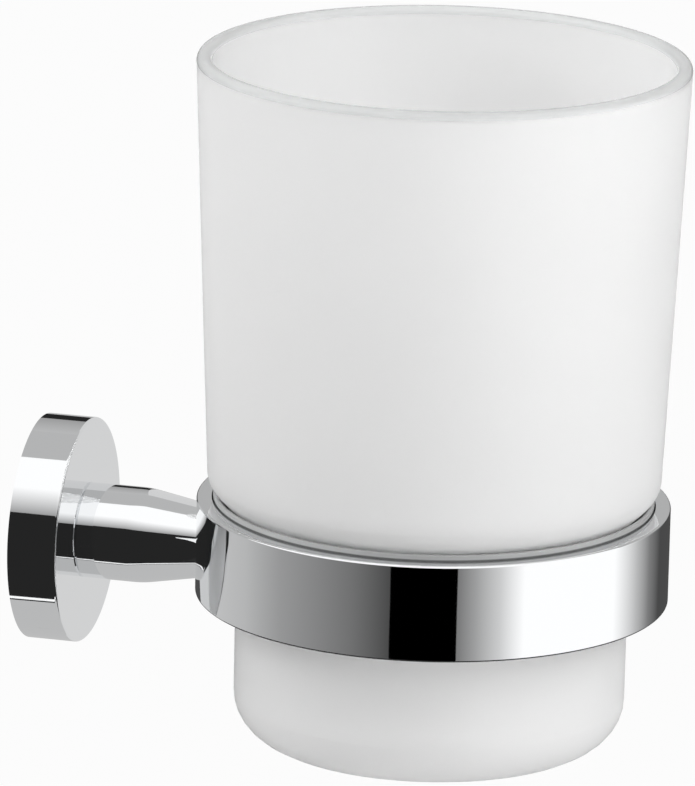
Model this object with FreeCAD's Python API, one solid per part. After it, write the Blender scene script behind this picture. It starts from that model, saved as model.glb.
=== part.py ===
import FreeCAD, Part
import math
import os

# Wall-mounted tumbler holder with a frosted glass tumbler, millimetres.
# The wall is the plane y = 0 and the holder stands out along -Y. Z is up.
# The origin is the centre of the rosette's wall face, on the axis of the post.

Vector = FreeCAD.Vector

# Layout
ring_lift = 2.6               # ring's middle above the axis of the post
overrun = 1.0                 # how far a cutting tool runs past the piece
same_point = 1e-6             # points closer than this are one point

# Tumbler
tumbler_height = 107.0
rim_diameter = 75.0
rim_flare = 2.8               # rim outside the foot of the upper body, each side
shoulder_width = 4.6          # step in to the lower body, each side
shoulder_height = 35.8        # lower end of the shoulder above the tumbler's bottom
shoulder_angle = 45.0         # degrees from level
shoulder_round = 4.0
neck_round = 3.0
rim_wall = 2.4
lower_wall = 3.0
base_thickness = 6.0
bottom_round = 7.0
inside_round = 5.0
base_hollow = 0.8             # the base is slightly hollow, so it stands on its edge
base_land = 1.2               # width of the flat land that it stands on
lip_round_share = 0.45        # of the wall at the rim

# Ring
ring_height = 15.0
ring_wall = 2.3
ring_edge_round = 0.35
ledge_width = 2.4             # inner ledge that carries the liner
ledge_thickness = 1.5

# Liner
liner_wall = 3.2
liner_gap = 0.2               # between the liner and the ring
liner_glass_gap = 0.5         # between the liner and the tumbler's lower body
lip_height = 0.95             # lip above the ring's top
lip_width = 0.5
lip_round = 0.2
seat_gap = 0.3                # between the conical seat and the shoulder

# Post
post_diameter = 14.8
post_straight = 9.5           # straight part next to the rosette
post_taper = 9.3              # from there to the ring
post_end_diameter = 11.6      # where the post meets the ring
post_blend_round = 16.0
post_edge = 0.25              # edge break that shows as a fine seam at the rosette

# Rosette
rosette_diameter = 35.0
rosette_side_wall = 2.0
rosette_front_wall = 2.5
rosette_edge_round = 0.4
rosette_inside_round = 0.8

# Wall bracket
bracket_gap = 0.3             # between the bracket and the rosette's inside
bracket_front_gap = 0.6       # between the bracket and the rosette's front wall
groove_depth = 1.5
groove_width = 3.2
wall_hole_diameter = 4.5
wall_hole_head = 7.4          # countersink at the front

# Screws
screw_gap = 0.05              # thread clearance, radial
drill_point = 1.2             # bore past the end of a screw
bore_web = 1.4                # metal between the post's two bores
bolt_diameter = 5.0
bolt_head_diameter = 9.5
bolt_head_gap = 1.05          # between the head and the bracket's bore
bolt_head_to_wall = 1.3
bolt_head_height = 2.7
bolt_head_round = 1.4
bolt_key = 3.0                # across flats
bolt_key_depth = 1.5
washer_outer = 9.2
washer_inner = 5.2
washer_thickness = 1.2
washer_slit = 0.8
washer_slit_angle = 20.0      # degrees
ring_screw_diameter = 3.0
ring_screw_head = 5.5
ring_screw_land = 0.2         # straight edge of the countersunk head
ring_screw_sink = 0.02        # head below the ring's inside
ring_screw_key = 2.0
ring_screw_key_depth = 0.8
set_screw_diameter = 4.0
set_screw_sink = 0.3          # below the rosette's outside
set_screw_point = 1.5
set_screw_tip_diameter = 1.0
set_screw_key = 2.0
set_screw_key_depth = 1.5
pin_diameter = 2.0
pin_in_rosette = 1.4
pin_in_post = 3.2
pin_gap = 0.03

# Radii and heights that several pieces share
rim_radius = rim_diameter / 2
upper_radius = rim_radius - rim_flare
lower_radius = upper_radius - shoulder_width
liner_inside = lower_radius + liner_glass_gap
liner_radius = liner_inside + liner_wall
ring_bore = liner_radius + liner_gap
ring_radius = ring_bore + ring_wall
ring_top = ring_lift + ring_height / 2
ring_bottom = ring_lift - ring_height / 2
lip_top = ring_top + lip_height
lip_inside = liner_radius - lip_width
shoulder_slope = math.tan(math.radians(shoulder_angle))
seat_lift = seat_gap / math.cos(math.radians(shoulder_angle))
seat_at_lower = lip_top - (lip_inside - lower_radius) * shoulder_slope
tumbler_bottom = seat_at_lower + seat_lift - shoulder_height
rosette_inside = rosette_diameter / 2 - rosette_side_wall
rosette_cavity = bolt_head_to_wall + bolt_head_height + washer_thickness
rosette_depth = rosette_cavity + rosette_front_wall
bracket_radius = rosette_inside - bracket_gap
bracket_thickness = rosette_cavity - bracket_front_gap
bracket_bore = bolt_head_diameter + bolt_head_gap * 2
groove_radius = bracket_radius - groove_depth
wall_hole_spacing = bracket_bore / 2 + groove_radius
post_start = rosette_depth
ring_face = post_start + post_straight + post_taper
wall_to_cup = ring_face + ring_radius
bolt_hole = bolt_diameter / 2 + screw_gap
bolt_reach = post_straight - bore_web / 2 - drill_point
ring_screw_reach = post_taper - bore_web / 2 - drill_point
pin_radius = pin_diameter / 2
pin_offset = (bolt_hole + post_diameter / 2) / 2

cup_centre = Vector(0, -wall_to_cup, 0)
upward = Vector(0, 0, 1)
outward = Vector(0, -1, 0)    # from the wall along the post
pin_seat = Vector(0, -post_start, pin_offset)


def at_cup(radius, height):
    """A point of a section through the tumbler's axis."""
    return Vector(radius, -wall_to_cup, height)


def at_post(radius, distance):
    """A point of a section through the post's axis, distance from the wall."""
    return Vector(radius, -distance, 0)


def rounded_outline(corners, place):
    """Closed wire of straight lines, with a tangent arc at each corner that has a radius."""
    points = [place(corner[0], corner[1]) for corner in corners]
    radii = [corner[2] if len(corner) > 2 else 0 for corner in corners]
    arcs = []
    for i, point in enumerate(points):
        to_last = (points[i - 1] - point).normalize()
        to_next = (points[(i + 1) % len(points)] - point).normalize()
        if radii[i] == 0:
            arcs.append((point, None, point))
            continue
        half_angle = to_last.getAngle(to_next) / 2
        along = radii[i] / math.tan(half_angle)
        middle = (to_last + to_next).normalize()
        depth = radii[i] / math.sin(half_angle) - radii[i]
        arcs.append((point + to_last * along, point + middle * depth, point + to_next * along))
    edges = []
    for i, (start, middle, end) in enumerate(arcs):
        if middle is not None:
            edges.append(Part.Arc(start, middle, end).toShape())
        next_start = arcs[(i + 1) % len(arcs)][0]
        if not end.isEqual(next_start, same_point):
            edges.append(Part.LineSegment(end, next_start).toShape())
    return Part.Wire(edges)


def turned(corners, place, centre, direction):
    """A turned piece: the outline carried once round the axis."""
    section = Part.Face(rounded_outline(corners, place))
    return section.revolve(centre, direction, 360)


def turned_on_cup(corners):
    return turned(corners, at_cup, cup_centre, upward)


def turned_on_post(corners):
    return turned(corners, at_post, Vector(0, 0, 0), outward)


def hexagon(across_flats, depth, centre, direction):
    """A hexagon key socket, as a tool that cuts from centre along direction."""
    corner_radius = across_flats / math.sqrt(3)
    side = Vector(1, 0, 0)
    other = direction.cross(side)
    points = []
    for i in range(7):
        angle = math.radians(60 * i)
        spoke = side * math.cos(angle) + other * math.sin(angle)
        points.append(centre + spoke * corner_radius)
    return Part.Face(Part.makePolygon(points)).extrude(direction * depth)


def make_tumbler():
    """Stepped glass: upper body, conical shoulder, lower body, thick hollow-ground base."""
    bottom = tumbler_bottom
    rim = bottom + tumbler_height
    lip_round_radius = rim_wall * lip_round_share
    shoulder_low = bottom + shoulder_height
    shoulder_high = shoulder_low + (upper_radius - lower_radius) * shoulder_slope
    inside_upper = upper_radius - rim_wall
    inside_lower = lower_radius - lower_wall
    # The inner cone is the outer cone moved in by the wall, so the shoulder keeps its thickness.
    cone_lift = lower_wall / math.cos(math.radians(shoulder_angle))
    inside_low = shoulder_low + cone_lift - lower_wall * shoulder_slope
    inside_high = inside_low + (inside_upper - inside_lower) * shoulder_slope
    floor = bottom + base_thickness
    land_radius = lower_radius - bottom_round - base_land
    return turned_on_cup([
        (0, bottom + base_hollow),
        (land_radius, bottom),
        (lower_radius, bottom, bottom_round),
        (lower_radius, shoulder_low, neck_round),
        (upper_radius, shoulder_high, shoulder_round),
        (rim_radius, rim, lip_round_radius),
        (rim_radius - rim_wall, rim, lip_round_radius),
        (inside_upper, inside_high, shoulder_round),
        (inside_lower, inside_low, neck_round),
        (inside_lower, floor, inside_round),
        (0, floor),
    ])


def make_ring_liner():
    """Sleeve on the ring's ledge, with a lip above the ring and a conical seat for the shoulder."""
    seat_low = lip_top - (lip_inside - liner_inside) * shoulder_slope
    return turned_on_cup([
        (liner_inside, ring_bottom + ledge_thickness),
        (liner_radius, ring_bottom + ledge_thickness),
        (liner_radius, lip_top, lip_round),
        (lip_inside, lip_top),
        (liner_inside, seat_low, neck_round),
    ])


def ring_screw_outline(gap, head_top, reach_end):
    """Countersunk screw, from its head's top towards the wall, grown by gap for its hole."""
    head = ring_screw_head / 2 + gap
    shank = ring_screw_diameter / 2 + gap
    land_end = head_top - ring_screw_land
    cone_end = land_end - (head - shank)
    return [
        (0, head_top),
        (head, head_top),
        (head, land_end),
        (shank, cone_end),
        (shank, reach_end),
        (0, reach_end),
    ]


def make_holder_ring():
    """Hoop with a ledge inside and a countersunk hole on the post's axis."""
    ledge = ring_bore - ledge_width
    hoop = turned_on_cup([
        (ring_bore, ring_top),
        (ring_radius, ring_top, ring_edge_round),
        (ring_radius, ring_bottom, ring_edge_round),
        (ledge, ring_bottom),
        (ledge, ring_bottom + ledge_thickness),
        (ring_bore, ring_bottom + ledge_thickness),
    ])
    inner_face = ring_face + ring_wall
    hole = turned_on_post(ring_screw_outline(screw_gap, inner_face, ring_face - overrun))
    mouth_radius = ring_screw_head / 2 + screw_gap
    mouth = Part.makeCylinder(mouth_radius, overrun, at_post(0, inner_face), outward)
    return hoop.cut(hole.fuse(mouth))


def make_ring_screw():
    head_top = ring_face + ring_wall - ring_screw_sink
    end = ring_face - ring_screw_reach
    screw = turned_on_post(ring_screw_outline(0, head_top, end))
    socket_depth = ring_screw_key_depth + overrun
    socket = hexagon(ring_screw_key, socket_depth, at_post(0, head_top + overrun), -outward)
    return screw.cut(socket)


def make_post():
    """Turned post whose end is coped to the ring, bored from both ends for its two screws."""
    end_radius = post_end_diameter / 2
    radius = post_diameter / 2
    cope_depth = ring_radius - math.sqrt(ring_radius ** 2 - end_radius ** 2)
    past_face = cope_depth + overrun
    blank_end = ring_face + past_face
    # The taper runs on past the ring's face, so that the cope leaves no step.
    blank_radius = end_radius - past_face * (radius - end_radius) / post_taper
    blank = turned_on_post([
        (0, post_start),
        (radius - post_edge, post_start),
        (radius, post_start + post_edge),
        (radius, post_start + post_straight, post_blend_round),
        (blank_radius, blank_end),
        (0, blank_end),
    ])
    cope = Part.makeCylinder(ring_radius, post_diameter * 2, at_cup(0, -post_diameter), upward)
    bolt_bore = Part.makeCylinder(
        bolt_hole,
        bolt_reach + drill_point,
        at_post(0, post_start),
        outward,
    )
    screw_bore = Part.makeCylinder(
        ring_screw_diameter / 2 + screw_gap,
        ring_screw_reach + drill_point + overrun,
        at_post(0, ring_face + overrun),
        -outward,
    )
    pin_hole = Part.makeCylinder(pin_radius + pin_gap, pin_in_post, pin_seat, outward)
    return blank.cut(cope).cut(bolt_bore.fuse(screw_bore).fuse(pin_hole))


def make_rosette():
    """Hollow round cover with holes for the bolt, the locating pin and the set screw."""
    outside = rosette_diameter / 2
    cover = turned_on_post([
        (rosette_inside, 0),
        (outside, 0),
        (outside, rosette_depth, rosette_edge_round),
        (bolt_hole, rosette_depth),
        (bolt_hole, rosette_cavity),
        (rosette_inside, rosette_cavity, rosette_inside_round),
    ])
    pin_hole = Part.makeCylinder(pin_radius + pin_gap, pin_in_rosette, pin_seat, -outward)
    set_hole = Part.makeCylinder(
        set_screw_diameter / 2 + screw_gap,
        rosette_side_wall + overrun * 2,
        Vector(0, -bracket_thickness / 2, -outside - overrun),
        upward,
    )
    return cover.cut(pin_hole.fuse(set_hole))


def make_locating_pin():
    return Part.makeCylinder(
        pin_radius, pin_in_rosette + pin_in_post, pin_seat - outward * pin_in_rosette, outward
    )


def make_post_washer():
    """Spring washer: a ring with one slanted slit."""
    ring = turned_on_post([
        (washer_inner / 2, rosette_cavity - washer_thickness),
        (washer_outer / 2, rosette_cavity - washer_thickness),
        (washer_outer / 2, rosette_cavity),
        (washer_inner / 2, rosette_cavity),
    ])
    slit = Part.makeBox(
        washer_slit,
        washer_thickness + overrun * 2,
        washer_outer,
        Vector(-washer_slit / 2, -rosette_cavity - overrun, 0),
    )
    slit.rotate(at_post(0, rosette_cavity - washer_thickness / 2), upward, washer_slit_angle)
    return ring.cut(slit)


def make_post_bolt():
    """Button head screw inside the rosette, through its front wall into the post."""
    seat = rosette_cavity - washer_thickness
    head_back = seat - bolt_head_height
    bolt = turned_on_post([
        (0, head_back),
        (bolt_head_diameter / 2, head_back, bolt_head_round),
        (bolt_head_diameter / 2, seat),
        (bolt_diameter / 2, seat),
        (bolt_diameter / 2, post_start + bolt_reach),
        (0, post_start + bolt_reach),
    ])
    socket = hexagon(bolt_key, bolt_key_depth + overrun, at_post(0, head_back - overrun), outward)
    return bolt.cut(socket)


def make_wall_bracket():
    """Disc with a V groove round its edge and two countersunk holes for wall screws."""
    middle = bracket_thickness / 2
    disc = turned_on_post([
        (bracket_bore / 2, 0),
        (bracket_radius, 0),
        (bracket_radius, middle - groove_width / 2),
        (groove_radius, middle),
        (bracket_radius, middle + groove_width / 2),
        (bracket_radius, bracket_thickness),
        (bracket_bore / 2, bracket_thickness),
    ])
    sink = (wall_hole_head - wall_hole_diameter) / 2
    for side in (-1, 1):
        x = side * wall_hole_spacing / 2
        hole = Part.makeCylinder(
            wall_hole_diameter / 2,
            bracket_thickness + overrun * 2,
            Vector(x, overrun, 0),
            outward,
        )
        countersink = Part.makeCone(
            wall_hole_diameter / 2,
            wall_hole_head / 2,
            sink,
            Vector(x, sink - bracket_thickness, 0),
            outward,
        )
        disc = disc.cut(hole.fuse(countersink))
    return disc


def make_set_screw():
    """Grub screw from below, its blunt point in the bracket's groove."""
    outside = rosette_diameter / 2 - set_screw_sink
    tip_radius = set_screw_tip_diameter / 2
    # The blunt tip meets the groove's sides where they are as wide as the tip.
    tip = groove_radius + groove_depth * set_screw_tip_diameter / groove_width + screw_gap
    shoulder = tip + set_screw_point
    radius = set_screw_diameter / 2
    groove = Vector(0, -bracket_thickness / 2, 0)
    below = groove - upward * outside
    body = Part.makeCylinder(radius, outside - shoulder, below, upward)
    point = Part.makeCone(radius, tip_radius, set_screw_point, groove - upward * shoulder, upward)
    socket_depth = set_screw_key_depth + overrun
    socket = hexagon(set_screw_key, socket_depth, below - upward * overrun, upward)
    return body.fuse(point).removeSplitter().cut(socket)


pieces = {
    "tumbler": make_tumbler,
    "ring_liner": make_ring_liner,
    "holder_ring": make_holder_ring,
    "ring_screw": make_ring_screw,
    "post": make_post,
    "post_bolt": make_post_bolt,
    "post_washer": make_post_washer,
    "locating_pin": make_locating_pin,
    "rosette": make_rosette,
    "wall_bracket": make_wall_bracket,
    "set_screw": make_set_screw,
}

os.makedirs("parts", exist_ok=True)
for name, make in pieces.items():
    shape = make()
    shape.exportStep(f"parts/{name}.step")
    box = shape.BoundBox
    print(
        f"{name}: {len(shape.Solids)} solid, volume {shape.Volume:.1f}, valid {shape.isValid()}, "
        f"z {box.ZMin:.2f} to {box.ZMax:.2f}, y {box.YMin:.2f} to {box.YMax:.2f}"
    )
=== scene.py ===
# %% [markdown]
# # A frosted tumbler in its chromed wall holder
#
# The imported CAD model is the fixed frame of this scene: it says where every piece is and how the
# tumbler moves. This lesson gives each piece its final surface and finish, and then builds the
# small studio in which the holder is photographed. All lengths are metres, so a size that is
# known in millimetres is multiplied by `mm`.

import math

import bmesh
import bpy
import numpy as np
from mathutils import Matrix, Vector


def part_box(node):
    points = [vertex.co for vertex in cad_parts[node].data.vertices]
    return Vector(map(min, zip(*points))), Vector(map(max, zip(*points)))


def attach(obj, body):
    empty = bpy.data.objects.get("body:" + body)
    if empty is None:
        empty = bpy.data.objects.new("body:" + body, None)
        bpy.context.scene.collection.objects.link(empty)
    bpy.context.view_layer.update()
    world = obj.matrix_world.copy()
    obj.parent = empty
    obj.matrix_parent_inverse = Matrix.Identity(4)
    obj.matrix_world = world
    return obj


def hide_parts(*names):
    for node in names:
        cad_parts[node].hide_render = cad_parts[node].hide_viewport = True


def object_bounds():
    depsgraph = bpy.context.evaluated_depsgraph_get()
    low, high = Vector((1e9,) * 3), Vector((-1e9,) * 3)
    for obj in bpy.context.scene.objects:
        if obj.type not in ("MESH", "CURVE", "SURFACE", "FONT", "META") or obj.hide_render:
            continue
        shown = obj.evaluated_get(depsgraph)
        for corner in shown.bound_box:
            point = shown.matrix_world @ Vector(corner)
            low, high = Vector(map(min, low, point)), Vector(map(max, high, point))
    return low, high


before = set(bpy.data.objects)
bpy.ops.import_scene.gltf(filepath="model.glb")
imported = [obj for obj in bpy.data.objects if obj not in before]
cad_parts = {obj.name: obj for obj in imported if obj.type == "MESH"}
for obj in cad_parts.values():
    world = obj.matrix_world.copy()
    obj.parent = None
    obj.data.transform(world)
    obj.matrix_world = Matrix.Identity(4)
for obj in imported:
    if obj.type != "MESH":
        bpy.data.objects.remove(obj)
cad_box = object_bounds()
mm = 0.001
print("nodes in the frame:", sorted(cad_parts))

# %% [markdown]
# ## Places read from the frame
#
# The holder has two axes. The tumbler, its liner and the ring are turned about an upright axis,
# and the post and the rosette about a level one that runs out of the wall along -Y. Places are
# read from the boxes of the CAD nodes, so nothing has to be fitted afterwards. The radii are
# written down: a CAD node is made of flat facets, and its box falls a little short of a circle.

# %% Read the axes and write down the outer radii
tumbler_low, tumbler_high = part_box("tumbler")
ring_low, ring_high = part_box("holder_ring")
post_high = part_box("post")[1]

rim_radius = 37.5 * mm
ring_radius = 36.3 * mm
liner_radius = 33.8 * mm
post_radius = 7.4 * mm
rosette_radius = 17.5 * mm
cup_y = (tumbler_low.y + tumbler_high.y) / 2
post_start = -post_high.y
ring_face = -cup_y - ring_radius
print(f"tumbler axis at y = {cup_y / mm:.1f} mm, ring face {ring_face / mm:.1f} mm from the wall")

# %% [markdown]
# ## Turned surfaces
#
# Every visible piece was turned, spun or pressed round an axis, so one kind of surface makes them
# all: an outline carried round. The outline is a short list of corners, and a corner with a
# radius becomes an arc. Mirror-like metal shows the smallest error in its shading, so each
# straight stretch also gets a point close to both of its ends. They hold the shading of a flat
# face flat, right up to the rounded edge.

# %% Outlines with rounded corners
arc_steps = 8
edge_hold = 0.06 * mm


def rounded_outline(corners):
    """The points of each corner of an outline, as a list of arrays of (radius, height). A corner
    (r, h, round) becomes an arc that touches both lines: it starts round / tan(half the corner)
    before the corner, and its centre lies round / sin(half the corner) along its middle line."""
    points = np.array([corner[:2] for corner in corners], float)
    rounds = [corner[2] if len(corner) > 2 else 0.0 for corner in corners]
    pieces = []
    for i, corner_round in enumerate(rounds):
        if corner_round == 0:
            pieces.append(points[i:i + 1])
            continue
        to_last = points[i - 1] - points[i]
        to_next = points[(i + 1) % len(points)] - points[i]
        to_last = to_last / np.linalg.norm(to_last)
        to_next = to_next / np.linalg.norm(to_next)
        half = math.acos(np.clip(to_last @ to_next, -1, 1)) / 2
        middle = (to_last + to_next) / np.linalg.norm(to_last + to_next)
        centre = points[i] + middle * corner_round / math.sin(half)
        first = points[i] + to_last * corner_round / math.tan(half) - centre
        last = points[i] + to_next * corner_round / math.tan(half) - centre
        share = np.linspace(0, 1, arc_steps + 1)[:, None]
        sweep = math.pi - 2 * half
        arc = first * np.sin((1 - share) * sweep) + last * np.sin(share * sweep)
        pieces.append(centre + arc / math.sin(sweep))
    return pieces


def outline_points(corners, closed):
    """The arcs of an outline in order, joined by lines that carry a point close to each end."""
    pieces = rounded_outline(corners)
    rows = []
    for i, piece in enumerate(pieces):
        rows.append(piece)
        if i + 1 == len(pieces) and not closed:
            break
        start = piece[-1]
        end = pieces[(i + 1) % len(pieces)][0]
        length = np.linalg.norm(end - start)
        if length > 3 * edge_hold:
            step = (end - start) * edge_hold / length
            rows.append(np.array([start + step, end - step]))
    return np.concatenate(rows)


side = 9 * mm
square = outline_points([(0, 0, mm), (0, side, mm), (side, side, mm), (side, 0, mm)], closed=True)
print("a rounded square has", len(square), "points")

# %% [markdown]
# ## From a grid of points to a mesh
#
# A turned surface is a grid: one direction runs along the outline and the other round the axis.
# numpy works out all its points at once, and the faces are index arithmetic on the same grid.

# %% Grids round the two axes
def turned_on_cup(outline, turns):
    """Carries an outline of (radius, height) points round the tumbler's axis: x and y are the
    radius times the cosine and sine of the turn, and z is the height."""
    turn = np.linspace(0, 2 * np.pi, turns, endpoint=False)
    radius, height = outline[:, :1], outline[:, 1:]
    level = np.broadcast_to(height, (len(outline), turns))
    return np.stack([radius * np.cos(turn), cup_y + radius * np.sin(turn), level], axis=-1)


def turned_on_post(outline, turns):
    """Carries an outline of (radius, distance from the wall) points round the post's axis: x and
    z are the radius times the cosine and sine of the turn, and y is minus the distance."""
    turn = np.linspace(0, 2 * np.pi, turns, endpoint=False)
    radius, distance = outline[:, :1], outline[:, 1:]
    out = np.broadcast_to(-distance, (len(outline), turns))
    return np.stack([radius * np.cos(turn), out, radius * np.sin(turn)], axis=-1)


def grid_faces(rows, turns, closed):
    """Quads of a grid that closes round each row, and from the last row to the first if closed."""
    row = np.arange(rows if closed else rows - 1)[:, None]
    column = np.arange(turns)[None, :]
    next_row = (row + 1) % rows
    next_column = (column + 1) % turns
    quads = [row * turns + column, row * turns + next_column,
             next_row * turns + next_column, next_row * turns + column]
    return np.stack(quads, axis=-1).reshape(-1, 4)


def enclosed_volume(points, quads):
    """A sixth of the sum of triple products over the triangles of all quads."""
    a, b, c, d = (points[quads[:, k]] for k in range(4))
    first = np.einsum("ij,ij->i", a, np.cross(b, c))
    second = np.einsum("ij,ij->i", a, np.cross(c, d))
    return (first.sum() + second.sum()) / 6


print("a grid of 3 rows and 4 turns has", len(grid_faces(3, 4, closed=False)), "faces")

# %% [markdown]
# ## Merging, shading and side holes
#
# Points that fall together, as at the middle of a base, are merged. Whether the faces point
# outwards is read from the sign of the volume that they enclose. Edges steeper than a set angle
# are sharp, and everything else shades smoothly. A hole that is off a piece's own axis is cut
# with a Boolean: the result becomes the mesh and the cutter goes, so no modifier is left behind.

# %% Merge, smooth, make and cut
sharp_angle = math.radians(38)
merge_distance = 1e-7


def merge_and_smooth(piece):
    """Merges points that fall together and shades smoothly, with sharp edges at steep angles."""
    work = bmesh.new()
    work.from_mesh(piece.data)
    bmesh.ops.remove_doubles(work, verts=work.verts, dist=merge_distance)
    work.to_mesh(piece.data)
    work.free()
    piece.data.shade_smooth()
    piece.data.set_sharp_from_angle(angle=sharp_angle)


def new_piece(name, grid, closed):
    """A smooth-shaded mesh object from a grid of points, with its faces turned outwards."""
    rows, turns = grid.shape[:2]
    points = grid.reshape(-1, 3)
    quads = grid_faces(rows, turns, closed)
    if enclosed_volume(points, quads) < 0:
        quads = quads[:, ::-1]
    mesh = bpy.data.meshes.new(name)
    mesh.from_pydata(points, [], quads)
    piece = bpy.data.objects.new(name, mesh)
    bpy.context.scene.collection.objects.link(piece)
    merge_and_smooth(piece)
    return piece


def cut_away(piece, cutter):
    """Takes the cutter's space out of the piece and removes the cutter."""
    cut = piece.modifiers.new("hole", "BOOLEAN")
    cut.operation = "DIFFERENCE"
    cut.solver = "EXACT"
    cut.object = cutter
    depsgraph = bpy.context.evaluated_depsgraph_get()
    result = bpy.data.meshes.new_from_object(piece.evaluated_get(depsgraph))
    piece.modifiers.clear()
    piece.data = result
    bpy.data.objects.remove(cutter)
    merge_and_smooth(piece)


print("edges sharper than", round(math.degrees(sharp_angle)), "degrees stay sharp")

# %% [markdown]
# ## The tumbler
#
# The glass was pressed in a mould: a wide upper body with a little draft, a 45 degree shoulder
# that sits in the holder, a straight lower body and a thick base that is slightly hollow below.
# The outline runs from the middle of the base round the outside, over the lip and down inside.

# %% Build the tumbler
tumbler_turns = 256
rim_flare = 2.8 * mm
shoulder_width = 4.6 * mm
shoulder_height = 35.8 * mm
shoulder_round = 4 * mm
neck_round = 3 * mm
rim_wall = 2.4 * mm
lower_wall = 3 * mm
lip_round = 1.08 * mm
base_thickness = 6 * mm
bottom_round = 7 * mm
inside_round = 5 * mm
base_hollow = 0.8 * mm
base_land = 1.2 * mm

bottom = tumbler_low.z
rim = tumbler_high.z
upper_radius = rim_radius - rim_flare
lower_radius = upper_radius - shoulder_width
shoulder_low = bottom + shoulder_height
shoulder_high = shoulder_low + shoulder_width
inside_upper = upper_radius - rim_wall
inside_lower = lower_radius - lower_wall
inside_low = shoulder_low + lower_wall * (math.sqrt(2) - 1)
inside_high = inside_low + inside_upper - inside_lower
floor_height = bottom + base_thickness

tumbler_outline = outline_points([
    (0, bottom + base_hollow),
    (lower_radius - bottom_round - base_land, bottom),
    (lower_radius, bottom, bottom_round),
    (lower_radius, shoulder_low, neck_round),
    (upper_radius, shoulder_high, shoulder_round),
    (rim_radius, rim, lip_round),
    (rim_radius - rim_wall, rim, lip_round),
    (inside_upper, inside_high, shoulder_round),
    (inside_lower, inside_low, neck_round),
    (inside_lower, floor_height, inside_round),
    (0, floor_height),
], closed=False)
tumbler_grid = turned_on_cup(tumbler_outline, tumbler_turns)
tumbler = new_piece("frosted_tumbler", tumbler_grid, closed=False)
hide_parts("tumbler")
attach(tumbler, "tumbler")
print("tumbler:", len(tumbler.data.polygons), "faces,", f"{(rim - bottom) / mm:.1f} mm tall")

# %% [markdown]
# ## The liner
#
# A clear plastic sleeve keeps the glass off the metal. It stands on the ring's ledge, its lip
# shows above the ring as a pale line, and its upper edge slopes inwards as the seat.

# %% Build the liner
liner_low, liner_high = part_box("ring_liner")
liner_turns = 256
liner_gap = 0.5 * mm
liner_inside = lower_radius + liner_gap
lip_width = 0.5 * mm
liner_lip_round = 0.2 * mm
lip_top = liner_high.z
lip_inside = liner_radius - lip_width
seat_low = lip_top - (lip_inside - liner_inside)

liner_outline = outline_points([
    (liner_inside, liner_low.z),
    (liner_radius, liner_low.z),
    (liner_radius, lip_top, liner_lip_round),
    (lip_inside, lip_top),
    (liner_inside, seat_low, neck_round),
], closed=True)
liner = new_piece("clear_liner", turned_on_cup(liner_outline, liner_turns), closed=True)
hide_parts("ring_liner")
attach(liner, "holder")
print("liner:", len(liner.data.polygons), "faces")

# %% [markdown]
# ## The ring
#
# The ring was cut from tube, with a ledge left inside for the liner. Its edges are only just
# broken, and that narrow round catches the light as a bright line.

# %% Build the ring
ring_turns = 384
ring_edge_round = 0.35 * mm
ring_wall = 2.3 * mm
ledge_width = 2.4 * mm
ledge_thickness = 1.5 * mm
ring_bore = ring_radius - ring_wall
ledge_radius = ring_bore - ledge_width

ring_outline = outline_points([
    (ring_bore, ring_high.z),
    (ring_radius, ring_high.z, ring_edge_round),
    (ring_radius, ring_low.z, ring_edge_round),
    (ledge_radius, ring_low.z),
    (ledge_radius, ring_low.z + ledge_thickness),
    (ring_bore, ring_low.z + ledge_thickness),
], closed=True)
ring = new_piece("chromed_ring", turned_on_cup(ring_outline, ring_turns), closed=True)
print("ring:", len(ring.data.polygons), "faces")

# %% [markdown]
# ## The ring's screw hole
#
# A countersunk screw holds the ring to the post from inside. Its hole is the space of the screw,
# turned about the post's axis and carried past both faces of the ring so that the cut is clean.

# %% Cut the screw hole
hole_turns = 64
cut_past = 1 * mm
ring_hole_head = 2.8 * mm
ring_hole_shank = 1.55 * mm
ring_hole_land = 0.2 * mm
land_end = ring_face + ring_wall - ring_hole_land

screw_hole_outline = outline_points([
    (0, ring_face + ring_wall + cut_past),
    (ring_hole_head, ring_face + ring_wall + cut_past),
    (ring_hole_head, land_end),
    (ring_hole_shank, land_end - ring_hole_head + ring_hole_shank),
    (ring_hole_shank, ring_face - cut_past),
    (0, ring_face - cut_past),
], closed=False)
screw_hole = turned_on_post(screw_hole_outline, hole_turns)
cut_away(ring, new_piece("cutter", screw_hole, closed=False))
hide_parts("holder_ring")
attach(ring, "holder")
print("ring with its screw hole:", len(ring.data.polygons), "faces")

# %% [markdown]
# ## The post
#
# The post is turned: straight next to the rosette, then one straight taper to the ring. Its end
# is coped, which means hollowed to fit the round of the ring. On the grid that is one line of
# numpy: no point may lie further from the wall than the ring's surface at the same x.

# %% Build the post
post_turns = 192
post_straight = 9.5 * mm
post_end_radius = 5.8 * mm
post_blend_round = 16 * mm
post_edge = 0.25 * mm
bolt_hole = 2.55 * mm
bolt_hole_depth = 8.8 * mm
ring_screw_bore = 8.6 * mm
cope_depth = ring_radius - math.sqrt(ring_radius ** 2 - post_end_radius ** 2)
post_slope = (post_radius - post_end_radius) / (ring_face - post_start - post_straight)
tip_radius = post_end_radius - cope_depth * post_slope


def coped_to_ring(grid):
    """Draws each point back to the ring's outside, which at a given x lies at the ring's axis
    plus the root of the ring's radius squared minus x squared."""
    face = cup_y + np.sqrt(ring_radius ** 2 - grid[..., 0] ** 2)
    coped = grid.copy()
    coped[..., 1] = np.maximum(grid[..., 1], face)
    return coped


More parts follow.
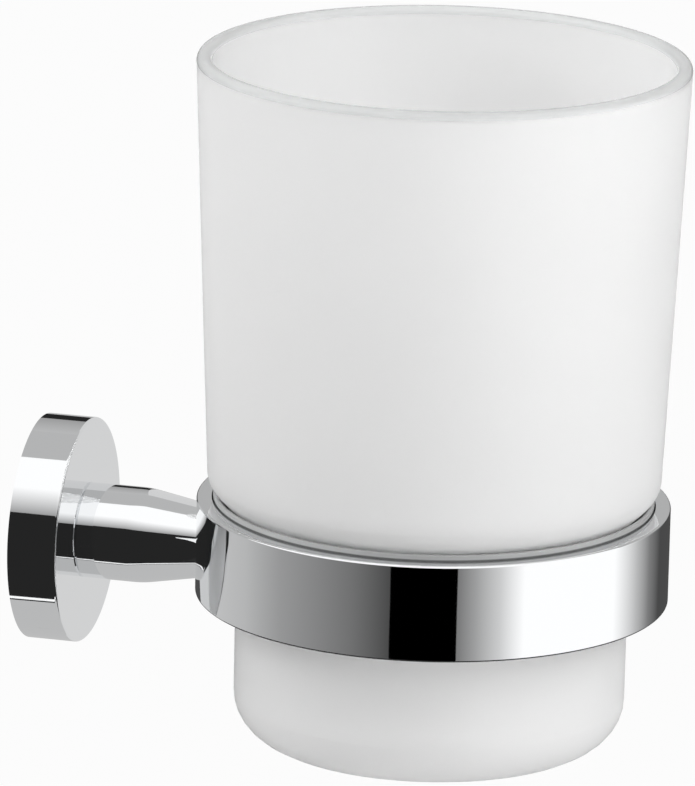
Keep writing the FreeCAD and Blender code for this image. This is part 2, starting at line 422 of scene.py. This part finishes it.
post_outline = outline_points([
    (0, post_start + bolt_hole_depth),
    (bolt_hole, post_start + bolt_hole_depth),
    (bolt_hole, post_start),
    (post_radius - post_edge, post_start),
    (post_radius, post_start + post_edge),
    (post_radius, post_start + post_straight, post_blend_round),
    (tip_radius, ring_face + cope_depth),
    (ring_hole_shank, ring_face + cope_depth),
    (ring_hole_shank, ring_face - ring_screw_bore),
    (0, ring_face - ring_screw_bore),
], closed=False)
post_grid = coped_to_ring(turned_on_post(post_outline, post_turns))
post = new_piece("chromed_post", post_grid, closed=False)
print("post:", len(post.data.polygons), "faces")

# %% [markdown]
# ## The bore for the pin
#
# A short pin between the rosette and the post keeps the post from turning. Both pieces have the
# same bore for it, beside the axis, so one function makes the cutter for both.

# %% Bore the post
pin_low, pin_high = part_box("locating_pin")
pin_hole_radius = 1.03 * mm
pin_start, pin_end = -pin_high.y, -pin_low.y


def pin_hole():
    """The space of the locating pin: a straight bore beside the post's axis."""
    bore = turned_on_post(np.array([
        (0, pin_start),
        (pin_hole_radius, pin_start),
        (pin_hole_radius, pin_end),
        (0, pin_end),
    ]), hole_turns)
    bore[..., 2] += (pin_low.z + pin_high.z) / 2
    return new_piece("cutter", bore, closed=False)


cut_away(post, pin_hole())
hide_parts("post")
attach(post, "holder")
print("post with its bore:", len(post.data.polygons), "faces")

# %% [markdown]
# ## The rosette
#
# The rosette is a hollow cover, pressed or turned from brass, that slides over the wall bracket.
# Its front edge is rounded a little more than the ring's, and its back is open.

# %% Build the rosette
rosette_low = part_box("rosette")[0]
rosette_turns = 320
rosette_side_wall = 2 * mm
rosette_front_wall = 2.5 * mm
rosette_edge_round = 0.4 * mm
rosette_inside_round = 0.8 * mm
rosette_depth = -rosette_low.y
rosette_inside = rosette_radius - rosette_side_wall
rosette_cavity = rosette_depth - rosette_front_wall

rosette_outline = outline_points([
    (rosette_inside, 0),
    (rosette_radius, 0),
    (rosette_radius, rosette_depth, rosette_edge_round),
    (bolt_hole, rosette_depth),
    (bolt_hole, rosette_cavity),
    (rosette_inside, rosette_cavity, rosette_inside_round),
], closed=True)
rosette_grid = turned_on_post(rosette_outline, rosette_turns)
rosette = new_piece("chromed_rosette", rosette_grid, closed=True)
print("rosette:", len(rosette.data.polygons), "faces")

# %% [markdown]
# ## The rosette's holes
#
# A radial hole in the underside takes the set screw that locks the rosette on the bracket, and
# the other end of the locating pin sits in its front.

# %% Cut the set screw's hole and the bore
set_screw_low, set_screw_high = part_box("set_screw")
set_hole_radius = 2.05 * mm
set_screw_y = (set_screw_low.y + set_screw_high.y) / 2

set_hole = turned_on_cup(np.array([
    (0, -rosette_radius - cut_past),
    (set_hole_radius, -rosette_radius - cut_past),
    (set_hole_radius, -rosette_inside + cut_past),
    (0, -rosette_inside + cut_past),
]), hole_turns)
set_hole[..., 1] += set_screw_y - cup_y
cut_away(rosette, new_piece("cutter", set_hole, closed=False))
cut_away(rosette, pin_hole())
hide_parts("rosette")
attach(rosette, "holder")
print("rosette with its holes:", len(rosette.data.polygons), "faces")

# %% [markdown]
# ## Helpers for materials
#
# Colours are written as sRGB hex values, the way a colour picker gives them, and one function
# turns them into the linear numbers that the shader uses. Another adds a node with its settings
# and links. A pattern's scale is worked out from a size in millimetres: the noise texture makes
# about one blob per unit, so a blob of s metres needs a scale of 1 / s.

# %% Colour and node helpers
mix_first, mix_second, mix_result = 6, 7, 2


def linear(hex_colour):
    """sRGB hex to linear RGBA: below 0.04045 divide by 12.92, above it raise to the power 2.4."""
    srgb = np.array([int(hex_colour[i:i + 2], 16) for i in (1, 3, 5)]) / 255
    low = srgb / 12.92
    high = ((srgb + 0.055) / 1.055) ** 2.4
    return (*np.where(srgb <= 0.04045, low, high).tolist(), 1.0)


def connect(material, node, links):
    """Feeds the named or numbered inputs of a node from sockets of other nodes."""
    for name, socket in links.items():
        material.node_tree.links.new(socket, node.inputs[name])


def add_node(material, kind, links=None, stops=(), **settings):
    """Adds a node. A setting is an attribute, or an input where the node has one of that name;
    links give the socket that feeds an input, and stops the (share, hex) stops of a ramp."""
    node = material.node_tree.nodes.new(kind)
    for name, value in settings.items():
        if hasattr(node, name):
            setattr(node, name, value)
        else:
            node.inputs[name.replace("_", " ").title()].default_value = value
    for i, (share, hex_colour) in enumerate(stops):
        ramp = node.color_ramp.elements
        stop = ramp[i] if i < 2 else ramp.new(share)
        stop.position = share
        stop.color = linear(hex_colour)
    connect(material, node, links or {})
    return node


def new_material(name):
    """A node material with its Principled shader."""
    material = bpy.data.materials.new(name)
    material.use_nodes = True
    return material, material.node_tree.nodes["Principled BSDF"]


def give(material, *pieces):
    """Makes the material the only one of each piece."""
    for piece in pieces:
        piece.data.materials.clear()
        piece.data.materials.append(material)


print("white in linear light:", linear("#FFFFFF")[:3])

# %% [markdown]
# ## Acid-etched glass
#
# Frosted glass is clear soda-lime glass whose surface was etched to a fine grain. About half of
# the light goes through and the rest is scattered back, so the glass glows softly and shows no
# sharp reflection. The grain is finer than a tenth of a millimetre, too fine to show here, so it
# is drawn at about half a millimetre. A wider cloudiness changes the roughness and the tint a
# little, as an etching bath does. The lip was melted smooth before etching: it keeps more of its
# gloss. Its tint is painted shade, a little greyer than the wall, which stands in for the darker
# look of clear glass at the lip.

# %% Etched glass
etched_glass, shader = new_material("acid_etched_glass")
grain_size = 0.5 * mm
grain_depth = 0.05 * mm
cloud_size = 14 * mm
cloud_share = 0.5
frost_least, frost_most = 0.52, 0.64
lip_roughness = 0.18
# The lip's grey tint is painted shade, standing in for the darker look of clear, smooth glass at
# the lip.
etched_tint, lip_painted_shade_tint, cloud_tint = "#FCFCFC", "#E0E2E2", "#FFFFFF"

place = add_node(etched_glass, "ShaderNodeTexCoord").outputs["Object"]
height = add_node(etched_glass, "ShaderNodeSeparateXYZ", {"Vector": place}).outputs["Z"]
clouds = add_node(etched_glass, "ShaderNodeTexNoise", {"Vector": place},
                  scale=1 / cloud_size, detail=2).outputs["Fac"]

# Painted shade: the band over the lip takes the grey tint.
lip_shade_mask = add_node(etched_glass, "ShaderNodeMapRange", {"Value": height},
                  from_min=rim - 1.5 * mm, from_max=rim - 0.75 * mm)
wall_or_lip_painted_shade = add_node(etched_glass, "ShaderNodeMix", {"Factor": lip_shade_mask.outputs["Result"]},
                       data_type="RGBA")
wall_or_lip_painted_shade.inputs[mix_first].default_value = linear(etched_tint)
wall_or_lip_painted_shade.inputs[mix_second].default_value = linear(lip_painted_shade_tint)
milky = add_node(etched_glass, "ShaderNodeMapRange", {"Value": clouds}, to_max=cloud_share)
tint = add_node(etched_glass, "ShaderNodeMix",
                {"Factor": milky.outputs["Result"], mix_first: wall_or_lip_painted_shade.outputs[mix_result]},
                data_type="RGBA")
tint.inputs[mix_second].default_value = linear(cloud_tint)

frost = add_node(etched_glass, "ShaderNodeMapRange", {"Value": clouds},
                 to_min=frost_least, to_max=frost_most)
lip_gloss = add_node(etched_glass, "ShaderNodeMapRange",
                     {"Value": height, "To Min": frost.outputs["Result"]},
                     from_min=rim - 2.2 * mm, from_max=rim - 0.8 * mm, to_max=lip_roughness)
grain = add_node(etched_glass, "ShaderNodeTexNoise", {"Vector": place},
                 scale=1 / grain_size, detail=1)
bump = add_node(etched_glass, "ShaderNodeBump", {"Height": grain.outputs["Fac"]},
                strength=0.08, distance=grain_depth)
connect(etched_glass, shader, {
    "Base Color": tint.outputs[mix_result],
    "Roughness": lip_gloss.outputs["Result"],
    "Normal": bump.outputs["Normal"],
})
shader.inputs["IOR"].default_value = 1.5
shader.inputs["Transmission Weight"].default_value = 0.5
give(etched_glass, tumbler)
print("etched glass: grain", grain_size / mm, "mm, clouds", cloud_size / mm, "mm")

# %% [markdown]
# ## Clear liner plastic
#
# The liner is moulded polycarbonate: clear, smooth, with a trace of haze. Moulding leaves faint
# flow marks, which only vary the gloss. Where the lip stands on the ring, a fine grey line is
# painted round its foot: painted shade, standing in for the contact shadow there.

# %% Clear plastic
clear_plastic, shader = new_material("clear_polycarbonate")
flow_size = 5 * mm
gloss_least, gloss_most = 0.1, 0.2
# The grey foot colour is painted shade: a band just above the ring's top stands in for the contact
# shadow.
painted_shade_line = 0.35 * mm
painted_shade_tint, lip_clear_tint = "#8C8E8E", "#F6F7F7"

place = add_node(clear_plastic, "ShaderNodeTexCoord").outputs["Object"]
height = add_node(clear_plastic, "ShaderNodeSeparateXYZ", {"Vector": place}).outputs["Z"]
flow = add_node(clear_plastic, "ShaderNodeTexNoise", {"Vector": place},
                scale=1 / flow_size, detail=2)
gloss = add_node(clear_plastic, "ShaderNodeMapRange", {"Value": flow.outputs["Fac"]},
                 to_min=gloss_least, to_max=gloss_most)
# Painted shade: below this height the liner is tinted grey instead of clear.
above_painted_shade = add_node(clear_plastic, "ShaderNodeMapRange", {"Value": height},
                      from_min=ring_high.z + painted_shade_line / 2, from_max=ring_high.z + painted_shade_line)
painted_shade_or_lip = add_node(clear_plastic, "ShaderNodeMix", {"Factor": above_painted_shade.outputs["Result"]},
                       data_type="RGBA")
painted_shade_or_lip.inputs[mix_first].default_value = linear(painted_shade_tint)
painted_shade_or_lip.inputs[mix_second].default_value = linear(lip_clear_tint)
connect(clear_plastic, shader, {
    "Base Color": painted_shade_or_lip.outputs[mix_result],
    "Roughness": gloss.outputs["Result"],
})
shader.inputs["IOR"].default_value = 1.58
shader.inputs["Transmission Weight"].default_value = 0.6
give(clear_plastic, liner)
print("clear plastic on", liner.name, "with a grey line of", painted_shade_line / mm, "mm")

# %% [markdown]
# ## Chrome plate
#
# Bright chrome is a mirror with a faint blue-grey tint. Buffing before plating leaves a very
# shallow waviness, which makes a straight reflection tremble, and handling leaves a film that
# blurs it slightly in patches.

# %% Polished chrome
chrome, shader = new_material("polished_chrome_plate")
wave_size = 9 * mm
wave_depth = 0.2 * mm
film_size = 22 * mm
blur_least, blur_most = 0.015, 0.05

place = add_node(chrome, "ShaderNodeTexCoord").outputs["Object"]
film = add_node(chrome, "ShaderNodeTexNoise", {"Vector": place}, scale=1 / film_size, detail=3)
blur = add_node(chrome, "ShaderNodeMapRange", {"Value": film.outputs["Fac"]},
                to_min=blur_least, to_max=blur_most)
waves = add_node(chrome, "ShaderNodeTexNoise", {"Vector": place}, scale=1 / wave_size, detail=0)
bump = add_node(chrome, "ShaderNodeBump", {"Height": waves.outputs["Fac"]},
                strength=0.05, distance=wave_depth)
connect(chrome, shader, {
    "Roughness": blur.outputs["Result"],
    "Normal": bump.outputs["Normal"],
})
shader.inputs["Base Color"].default_value = linear("#F1F2F3")
shader.inputs["Metallic"].default_value = 1.0
give(chrome, ring, post, rosette)
print("chrome on", ring.name, post.name, rosette.name)

# %% [markdown]
# ## Screws
#
# The hidden pieces keep their CAD shapes. The screws, the pin and the washer are turned stainless
# steel, and fine tool marks change their gloss from place to place.

# %% Stainless steel
steel, shader = new_material("turned_stainless_steel")
tool_mark = 0.3 * mm
shine_least, shine_most = 0.22, 0.38
steel_nodes = ["ring_screw", "post_bolt", "post_washer", "locating_pin", "set_screw"]

place = add_node(steel, "ShaderNodeTexCoord").outputs["Object"]
marks = add_node(steel, "ShaderNodeTexNoise", {"Vector": place}, scale=1 / tool_mark, detail=2)
shine = add_node(steel, "ShaderNodeMapRange", {"Value": marks.outputs["Fac"]},
                 to_min=shine_least, to_max=shine_most)
connect(steel, shader, {"Roughness": shine.outputs["Result"]})
shader.inputs["Base Color"].default_value = linear("#B9B8B4")
shader.inputs["Metallic"].default_value = 1.0
give(steel, *[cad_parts[name] for name in steel_nodes])
print("steel on", len(steel_nodes), "nodes")

# %% [markdown]
# ## Bracket
#
# The bracket is a steel pressing with dull zinc plate, whose crystals show as pale and dark
# flecks. A Voronoi texture draws such cells: the distance from a cell's middle sets both the
# colour and the roughness.

# %% Zinc plate
zinc, shader = new_material("zinc_plated_steel")
spangle_size = 1.6 * mm
dull_least, dull_most = 0.38, 0.55

place = add_node(zinc, "ShaderNodeTexCoord").outputs["Object"]
spangle = add_node(zinc, "ShaderNodeTexVoronoi", {"Vector": place},
                   scale=1 / spangle_size).outputs["Distance"]
flecks = add_node(zinc, "ShaderNodeMix", {"Factor": spangle}, data_type="RGBA")
flecks.inputs[mix_first].default_value = linear("#AEB2B5")
flecks.inputs[mix_second].default_value = linear("#C6C9CB")
dull = add_node(zinc, "ShaderNodeMapRange", {"Value": spangle},
                to_min=dull_least, to_max=dull_most)
connect(zinc, shader, {
    "Base Color": flecks.outputs[mix_result],
    "Roughness": dull.outputs["Result"],
})
shader.inputs["Metallic"].default_value = 1.0
give(zinc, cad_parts["wall_bracket"])
print("zinc on the bracket, flecks of", spangle_size / mm, "mm")

# %% [markdown]
# ## The camera
#
# The photograph was taken from the side of the post and a little above, with a long lens, so
# upright lines stay nearly parallel. The frame is 695 x 786 pixels; the focal length in pixels
# becomes millimetres on a 36 mm sensor that lies along the longer side.

# %% Camera at the photograph's angle
camera_azimuth = math.radians(-75.318)
camera_elevation = math.radians(15.213)
camera_roll = math.radians(1.281)
camera_distance = 1.2
camera_aim = Vector((0, -48.78 * mm, 25.7 * mm))
focal_pixels = 7842.8
frame_height_pixels = 786
sensor_width = 36.0


def direction(azimuth, elevation):
    """The unit vector at an azimuth, counted from -Y towards +X, and an elevation."""
    level = math.cos(elevation)
    return Vector((math.sin(azimuth) * level, -math.cos(azimuth) * level, math.sin(elevation)))


camera_data = bpy.data.cameras.new("camera")
camera_data.sensor_width = sensor_width
camera_data.lens = focal_pixels * sensor_width / frame_height_pixels
camera = bpy.data.objects.new("camera", camera_data)
bpy.context.scene.collection.objects.link(camera)
back = direction(camera_azimuth, camera_elevation)
turn = (-back).to_track_quat("-Z", "Y").to_matrix() @ Matrix.Rotation(camera_roll, 3, "Z")
camera.matrix_world = Matrix.Translation(camera_aim + back * camera_distance) @ turn.to_4x4()
bpy.context.scene.camera = camera
bpy.context.scene.view_settings.view_transform = "Standard"
print(f"lens {camera_data.lens:.0f} mm at {camera_distance} m")

# %% [markdown]
# ## Cards for the metal
#
# Polished metal shows only its surroundings, so a product photographer builds them from cards:
# black round the lens, grey to the left, white to the right and above. Each card here is a patch
# of a large ball round the holder, given by angles counted from the camera to the right, and
# upwards from level. Cards are seen only in reflections, so they neither block the view nor cast
# a shadow.

# %% Patches of a ball
card_centre = (cad_box[0] + cad_box[1]) / 2
card_steps = 64


def ball_patch(distance, right, up, overlap):
    """A patch of a ball: points at the distance, at evenly spaced azimuths and elevations, a
    little wider and higher than asked where cards overlap, so that no gap is left."""
    azimuth = np.linspace(right[0] - overlap, right[1] + overlap, card_steps)
    azimuth = camera_azimuth + np.radians(azimuth)[None, :]
    elevation = np.linspace(max(up[0] - overlap, -90), min(up[1] + overlap, 90), card_steps)
    elevation = np.radians(elevation)[:, None]
    level = np.cos(elevation)
    height = np.broadcast_to(np.sin(elevation), (card_steps, card_steps))
    ball = np.stack([np.sin(azimuth) * level, -np.cos(azimuth) * level, height], axis=-1)
    return np.array(card_centre) + distance * ball


def card_mesh(name, grid):
    """The patch as a mesh, with a UV map that runs across and up from 0 to 1."""
    row, column = np.meshgrid(np.arange(card_steps - 1), np.arange(card_steps - 1), indexing="ij")
    first = row * card_steps + column
    quads = np.stack([first, first + 1, first + card_steps + 1, first + card_steps], axis=-1)
    quads = quads.reshape(-1, 4)
    mesh = bpy.data.meshes.new(name)
    mesh.from_pydata(grid.reshape(-1, 3), [], quads)
    share = np.linspace(0, 1, card_steps)
    across, up = np.meshgrid(share, share)
    uv = np.stack([across.ravel(), up.ravel()], axis=-1)[quads.ravel()]
    mesh.uv_layers.new(name="UVMap").data.foreach_set("uv", uv.ravel())
    return mesh


print("cards are centred on", [round(value, 3) for value in card_centre])

# %% [markdown]
# ## Two sets of cards
#
# In a studio the ring and the bar behind it are often lit in two exposures, each with its own
# cards. Light linking does the same in one: a card gives its light only to the pieces in its
# collection. The inner set is see-through, so that the ring's rays reach the outer set.

# %% Who sees which cards
ring_card_distance = 0.9
bar_card_distance = 0.85
ring_card_overlap = 0.3


def receivers(name, pieces):
    """A collection of the pieces that a set of cards shines on."""
    group = bpy.data.collections.new(name)
    for piece in pieces:
        group.objects.link(piece)
    return group


bar_pieces = receivers("seen_by_bar", [post, rosette])
hidden_nodes = [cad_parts[name] for name in steel_nodes + ["wall_bracket"]]
ring_pieces = receivers("seen_by_ring", [ring, liner, tumbler, *hidden_nodes])

# %% [markdown]
# ## Making a card
#
# A card glows evenly, or fades between a few greys along its UV map. Chrome gives back about 89 %
# of the light, so the cards glow by that much more than white.

# %% Card material and card
card_level = 1.12


def card_material(name, shades, upwards, see_through):
    """A glow with (share, hex) stops from left to right, or upwards from below."""
    material = bpy.data.materials.new(name)
    material.use_nodes = True
    material.node_tree.nodes.clear()
    uv = add_node(material, "ShaderNodeTexCoord").outputs["UV"]
    axes = add_node(material, "ShaderNodeSeparateXYZ", {"Vector": uv})
    along = axes.outputs["Y" if upwards else "X"]
    ramp = add_node(material, "ShaderNodeValToRGB", {"Fac": along}, stops=shades)
    glow = add_node(material, "ShaderNodeEmission", {"Color": ramp.outputs["Color"]},
                    strength=card_level)
    surface = glow.outputs["Emission"]
    if see_through:
        clear = add_node(material, "ShaderNodeBsdfTransparent").outputs["BSDF"]
        both = add_node(material, "ShaderNodeAddShader", {0: clear, 1: surface})
        surface = both.outputs["Shader"]
    add_node(material, "ShaderNodeOutputMaterial", {"Surface": surface})
    return material


def card(name, group, right, up, shades, upwards=False):
    """A glowing card for one group of pieces, between two angles to the right and two up."""
    if group is bar_pieces:
        patch = ball_patch(bar_card_distance, right, up, 0)
    else:
        patch = ball_patch(ring_card_distance, right, up, ring_card_overlap)
    piece = bpy.data.objects.new(name, card_mesh(name, patch))
    piece.data.materials.append(card_material(name, shades, upwards, group is bar_pieces))
    bpy.context.scene.collection.objects.link(piece)
    piece.light_linking.receiver_collection = group
    piece.visible_camera = False
    piece.visible_diffuse = False
    piece.visible_transmission = False
    piece.visible_shadow = False


def even(hex_colour):
    """The stops of a card with one shade all over."""
    return [(0, hex_colour), (1, hex_colour)]


print("cards glow at", card_level)

# %% [markdown]
# ## Cards round the ring
#
# The ring's wall is upright, so it mirrors a level belt: a black gap where the camera stands, a
# grey card that fades towards it on the left, and a softbox on the right that falls off behind.
# A white ceiling gives the upper edge its bright line, and a dark table the lower edge its dark
# one.

# %% Ring cards
black, white = "#000000", "#FFFFFF"
near_side, far_side, all_round = (-98, 98), (98, 262), (-180, 180)
belt_low, belt_high = -30, 4
belt = (belt_low, belt_high)
gap_left, gap_right = -19.5, 12.6
softbox_end = 97

card("ring_black", ring_pieces, (gap_left, gap_right), belt, even(black))
card("ring_left", ring_pieces, (-140, gap_left), belt, [
    (0, "#C4C4C4"), (0.32, "#B5B5B5"), (0.52, "#979797"),
    (0.7, "#848484"), (0.85, "#707070"), (1, "#4A4A4A"),
])
card("ring_right", ring_pieces, (gap_right, softbox_end), belt, [
    (0, "#767676"), (0.1, "#9D9D9D"), (0.24, "#CCCCCC"), (0.38, white), (1, white),
])
card("ring_far_right", ring_pieces, (softbox_end, 220), belt, [
    (0, white), (0.15, "#B8B8B8"), (0.25, "#7C7C7C"), (0.36, "#484848"), (1, "#484848"),
])
card("ring_ceiling", ring_pieces, near_side, (belt_high, 90), even(white))
card("ring_back", ring_pieces, far_side, (belt_high, 90), even("#ACACAC"))
card("ring_table", ring_pieces, all_round, (-90, belt_low), even("#303030"))
print("ring cards between", belt_low, "and", belt_high, "degrees, ceiling and table")

# %% [markdown]
# ## Cards along the bar
#
# The post and the rosette lie level, so they mirror an upright strip: a grey table below, its
# edge as a white and a black line, a dark wall, and a ceiling that brightens upwards. The
# rosette's flat front looks the other way, at a pale card.

# %% Bar cards
table_top, edge_top, light_top = -61.5, -60.3, -58
wall_top, upper_top = 24, 48
far_table_top, far_wall_top = 0, 19
front_side, left_side = (98, 180), (-180, -98)
table_grey, wall_grey = "#B8B8B8", "#242424"

card("bar_table", bar_pieces, all_round, (-90, table_top), even(table_grey))
card("bar_table_edge", bar_pieces, near_side, (table_top, edge_top), even(black))
card("bar_table_light", bar_pieces, near_side, (edge_top, light_top), even(white))
card("bar_wall", bar_pieces, near_side, (light_top, wall_top), even(wall_grey))
card("bar_front", bar_pieces, front_side, (table_top, upper_top), even("#CFCFCF"))
card("bar_far_table", bar_pieces, left_side, (table_top, far_table_top), even(table_grey))
card("bar_far_wall", bar_pieces, left_side, (far_table_top, far_wall_top),
     [(0, wall_grey), (1, "#2C2C2C")])
card("bar_far_upper", bar_pieces, left_side, (far_wall_top, upper_top),
     [(0, "#9A9A9A"), (1, table_grey)], upwards=True)
card("bar_upper", bar_pieces, near_side, (wall_top, upper_top),
     [(0, "#9C9C9C"), (1, white)], upwards=True)
card("bar_ceiling", bar_pieces, near_side, (upper_top, 90), even(white))
card("bar_ceiling_far", bar_pieces, far_side, (upper_top, 90), even("#B4B4B4"))
print("bar cards with the table's edge at", table_top, "degrees")

# %% [markdown]
# ## Floor
#
# The holder hangs a metre and a half above a pale floor, so its soft shadow falls below the
# picture. The floor is white to the camera, and to rays that pass through the glass or come off
# the metal; a share of its own shading stays, and with it the shadow.

# %% Floor
floor_drop = 1.5
floor_half = 12.0
floor_shading = 0.06

floor_mesh = bpy.data.meshes.new("floor")
corners = np.array([(-1, -1), (1, -1), (1, 1), (-1, 1)]) * floor_half
level = np.full((4, 1), -floor_drop)
floor_mesh.from_pydata(np.hstack([corners, level]), [], [(0, 1, 2, 3)])
floor = bpy.data.objects.new("floor", floor_mesh)
bpy.context.scene.collection.objects.link(floor)


def seen_as_white(material, most):
    """The given share for rays from the camera, from metal or through glass, otherwise 0."""
    path = add_node(material, "ShaderNodeLightPath").outputs
    camera_or_metal = add_node(material, "ShaderNodeMath",
                               {0: path["Is Camera Ray"], 1: path["Is Glossy Ray"]},
                               operation="ADD", use_clamp=True).outputs["Value"]
    any_of_three = add_node(material, "ShaderNodeMath",
                            {0: camera_or_metal, 1: path["Is Transmission Ray"]},
                            operation="ADD", use_clamp=True).outputs["Value"]
    share = add_node(material, "ShaderNodeMath", {0: any_of_three}, operation="MULTIPLY")
    share.inputs[1].default_value = most
    return share.outputs["Value"]


pale_floor, shader = new_material("pale_floor")
shader.inputs["Base Color"].default_value = linear("#F2F2F2")
shader.inputs["Roughness"].default_value = 0.9
glow = add_node(pale_floor, "ShaderNodeEmission")
shown = add_node(pale_floor, "ShaderNodeMixShader", {
    "Fac": seen_as_white(pale_floor, 1 - floor_shading),
    1: shader.outputs["BSDF"],
    2: glow.outputs["Emission"],
})
connect(pale_floor, pale_floor.node_tree.nodes["Material Output"],
        {"Surface": shown.outputs["Shader"]})
give(pale_floor, floor)
print("floor", floor_drop, "m below the post")

# %% [markdown]
# ## Room
#
# The room gives even light from all sides, at a little over half of white. The same rays that see
# the floor as white see a white backdrop instead of the room.

# %% Room and backdrop
room_level = 0.58
backdrop_level = 0.98

world = bpy.data.worlds.new("room")
bpy.context.scene.world = world
world.use_nodes = True
world.node_tree.nodes.clear()
room = add_node(world, "ShaderNodeBackground", strength=room_level)
backdrop = add_node(world, "ShaderNodeBackground", strength=backdrop_level)
room.inputs["Color"].default_value = linear(white)
backdrop.inputs["Color"].default_value = linear(white)
seen = add_node(world, "ShaderNodeMixShader", {
    "Fac": seen_as_white(world, 1),
    1: room.outputs["Background"],
    2: backdrop.outputs["Background"],
})
add_node(world, "ShaderNodeOutputWorld", {"Surface": seen.outputs["Shader"]})
print("room at", room_level, "of white, backdrop at", backdrop_level)

# %% [markdown]
# ## Lamps
#
# Three softboxes shape the glass: a high one on the right that also reaches into the mouth, a
# high one on the left, and a low one in front for the base. The metal has its cards, so it does
# not mirror the lamps. They do not shine through the glass either: a lamp behind it would burn it
# out to white from the other side.

# %% Softboxes
lamp_size = 0.7
lamp_distance = 1.1


def softbox(name, watts, right, up):
    """A square lamp that looks at the holder, at angles to the right of the camera and up."""
    data = bpy.data.lights.new(name, "AREA")
    data.energy = watts
    data.size = lamp_size
    lamp = bpy.data.objects.new(name, data)
    bpy.context.scene.collection.objects.link(lamp)
    towards = direction(camera_azimuth + math.radians(right), math.radians(up))
    lamp.location = card_centre + towards * lamp_distance
    lamp.rotation_euler = towards.to_track_quat("Z", "Y").to_euler()
    lamp.visible_glossy = False
    lamp.visible_transmission = False
    print(f"{name}: {watts} W")


softbox("right_softbox", watts=6.5, right=60, up=40)
softbox("left_softbox", watts=9.0, right=-95, up=30)
softbox("low_softbox", watts=5.0, right=40, up=-30)

# %% [markdown]
# ## Finish
#
# The box of the CAD model is printed.

# %% Print the CAD box and finish
print("cad box", [list(corner) for corner in cad_box])
